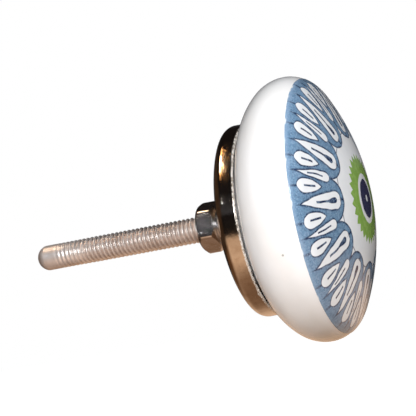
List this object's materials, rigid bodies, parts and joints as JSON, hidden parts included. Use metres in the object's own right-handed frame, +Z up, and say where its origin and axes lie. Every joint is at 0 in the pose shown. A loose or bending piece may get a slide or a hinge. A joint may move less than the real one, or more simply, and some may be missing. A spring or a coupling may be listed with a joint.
{
  "type": "cabinet knob",
  "caption": "Round glazed ceramic knob with a printed dome in a plated metal cap, on a threaded stud with two nuts.",
  "frame": {"origin": "centre of the mounting nut's outer face, where the free length of the stud starts", "axes": "+Y along the stud to its tip, so the printed dome faces -Y; +Z up"},
  "size_m": [0.04, 0.0537, 0.04],
  "materials": {
    "glazed_white": "gloss",
    "anchor_cement": "matte",
    "plated_cap": "polished",
    "plated_nuts": "polished",
    "plated_stud": "satin",
    "print_blue": "gloss",
    "print_green": "gloss",
    "print_dark": "gloss"
  },
  "bodies": {
    "root": {"knob_body": "glazed_white", "anchor_cement": "anchor_cement", "threaded_stud": "plated_stud", "base_cap": "plated_cap", "cap_nut": "plated_nuts", "mounting_nut": "plated_nuts", "print_petals": "print_blue", "print_ring": "print_green", "print_eye": "print_dark"}
  },
  "joints": []
}
